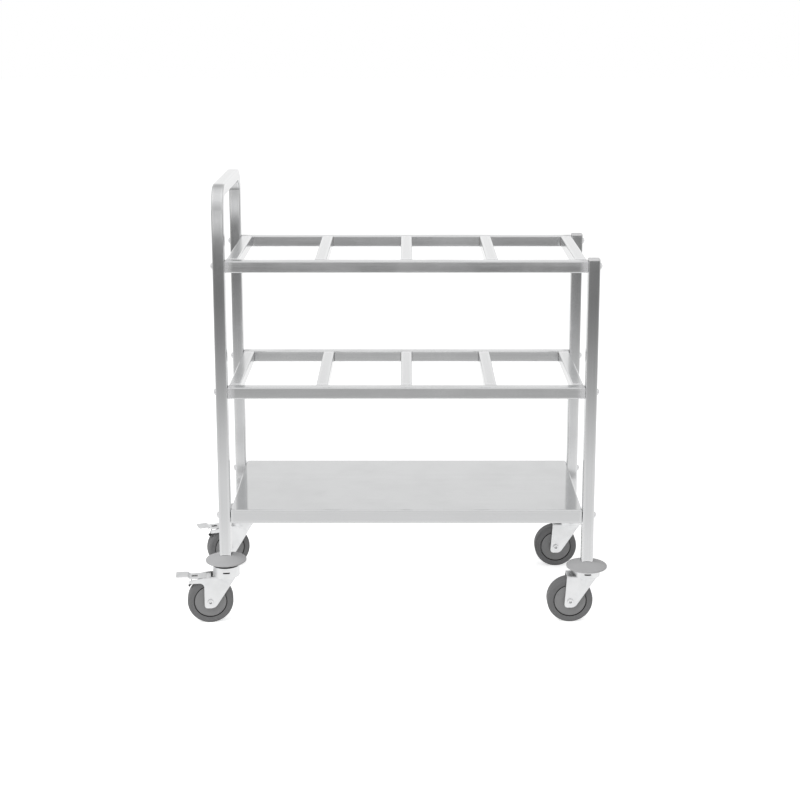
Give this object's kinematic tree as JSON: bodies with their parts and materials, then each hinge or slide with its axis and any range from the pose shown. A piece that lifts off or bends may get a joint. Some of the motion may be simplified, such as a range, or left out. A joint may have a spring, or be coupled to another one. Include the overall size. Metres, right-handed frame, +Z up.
{
  "type": "gastronorm trolley",
  "caption": "Open square-tube serving trolley with a bent push handle, two barred shelves that hold gastronorm containers by their rims, a flat lower tray and braked swivel casters.",
  "frame": {"origin": "on the floor, midway between the outermost points in X and Y", "axes": "+X away from the push handle along the shelves, +Y to the rear, +Z up"},
  "size_m": [0.9462, 0.424, 0.964],
  "materials": {
    "stainless": "brushed stainless",
    "fastener_steel": "satin",
    "zinc_steel": "bright zinc",
    "ball_steel": "polished",
    "cap_grey": "matte",
    "bumper_grey": "matte",
    "wheel_core_grey": "matte",
    "tread_grey": "matte",
    "seal_black": "matte",
    "shoe_black": "matte"
  },
  "bodies": {
    "frame": {"handle_frame": "stainless", "front_right_post": "stainless", "rear_right_post": "stainless", "post_caps": "cap_grey", "top_front_rail": "stainless", "top_rear_rail": "stainless", "top_left_rail": "stainless", "top_right_rail": "stainless", "top_left_bar": "stainless", "top_center_bar": "stainless", "top_right_bar": "stainless", "middle_front_rail": "stainless", "middle_rear_rail": "stainless", "middle_left_rail": "stainless", "middle_right_rail": "stainless", "middle_left_bar": "stainless", "middle_center_bar": "stainless", "middle_right_bar": "stainless", "bottom_tray": "stainless", "shelf_bolts": "fastener_steel", "tray_bolts": "fastener_steel", "rail_plugs": "fastener_steel", "tray_nuts": "fastener_steel", "caster_stems": "zinc_steel", "post_plugs": "cap_grey", "bumper_front_left": "bumper_grey", "swivel_cap_front_left": "seal_black", "bumper_rear_left": "bumper_grey", "swivel_cap_rear_left": "seal_black", "bumper_front_right": "bumper_grey", "swivel_cap_front_right": "seal_black", "bumper_rear_right": "bumper_grey", "swivel_cap_rear_right": "seal_black"},
    "caster_front_left": {"fork_front_left": "zinc_steel", "bearing_balls_front_left": "ball_steel", "axle_front_left": "zinc_steel", "brake_pin_front_left": "zinc_steel"},
    "wheel_front_left": {"wheel_core_front_left": "wheel_core_grey", "wheel_tread_front_left": "tread_grey"},
    "brake_front_left": {"brake_lever_front_left": "zinc_steel", "brake_shoe_front_left": "shoe_black"},
    "caster_rear_left": {"fork_rear_left": "zinc_steel", "bearing_balls_rear_left": "ball_steel", "axle_rear_left": "zinc_steel", "brake_pin_rear_left": "zinc_steel"},
    "wheel_rear_left": {"wheel_core_rear_left": "wheel_core_grey", "wheel_tread_rear_left": "tread_grey"},
    "brake_rear_left": {"brake_lever_rear_left": "zinc_steel", "brake_shoe_rear_left": "shoe_black"},
    "caster_front_right": {"fork_front_right": "zinc_steel", "bearing_balls_front_right": "ball_steel", "axle_front_right": "zinc_steel"},
    "wheel_front_right": {"wheel_core_front_right": "wheel_core_grey", "wheel_tread_front_right": "tread_grey"},
    "caster_rear_right": {"fork_rear_right": "zinc_steel", "bearing_balls_rear_right": "ball_steel", "axle_rear_right": "zinc_steel"},
    "wheel_rear_right": {"wheel_core_rear_right": "wheel_core_grey", "wheel_tread_rear_right": "tread_grey"}
  },
  "joints": [
    {"name": "swivel_front_left", "type": "hinge", "parent": "frame", "child": "caster_front_left", "pos_m": [-0.36241, -0.1675, 0.108], "axis": [0, 0, 1], "continuous": true},
    {"name": "roll_front_left", "type": "hinge", "parent": "caster_front_left", "child": "wheel_front_left", "pos_m": [-0.39815, -0.17189, 0.05], "axis": [-0.1219, 0.9925, 0], "continuous": true},
    {"name": "pedal_front_left", "type": "hinge", "parent": "caster_front_left", "child": "brake_front_left", "pos_m": [-0.40807, -0.17311, 0.1035], "axis": [0.1219, -0.9925, 0], "range_deg": [0, 8]},
    {"name": "swivel_rear_left", "type": "hinge", "parent": "frame", "child": "caster_rear_left", "pos_m": [-0.36241, 0.1675, 0.108], "axis": [0, 0, 1], "continuous": true},
    {"name": "roll_rear_left", "type": "hinge", "parent": "caster_rear_left", "child": "wheel_rear_left", "pos_m": [-0.39602, 0.1546, 0.05], "axis": [-0.3584, 0.9336, 0], "continuous": true},
    {"name": "pedal_rear_left", "type": "hinge", "parent": "caster_rear_left", "child": "brake_rear_left", "pos_m": [-0.40536, 0.15102, 0.1035], "axis": [0.3584, -0.9336, 0], "range_deg": [0, 8]},
    {"name": "swivel_front_right", "type": "hinge", "parent": "frame", "child": "caster_front_right", "pos_m": [0.42859, -0.1675, 0.108], "axis": [0, 0, 1], "continuous": true},
    {"name": "roll_front_right", "type": "hinge", "parent": "caster_front_right", "child": "wheel_front_right", "pos_m": [0.39259, -0.1675, 0.05], "axis": [0, 1, 0], "continuous": true},
    {"name": "swivel_rear_right", "type": "hinge", "parent": "frame", "child": "caster_rear_right", "pos_m": [0.42859, 0.1675, 0.108], "axis": [0, 0, 1], "continuous": true},
    {"name": "roll_rear_right", "type": "hinge", "parent": "caster_rear_right", "child": "wheel_rear_right", "pos_m": [0.39259, 0.1675, 0.05], "axis": [0, 1, 0], "continuous": true}
  ]
}
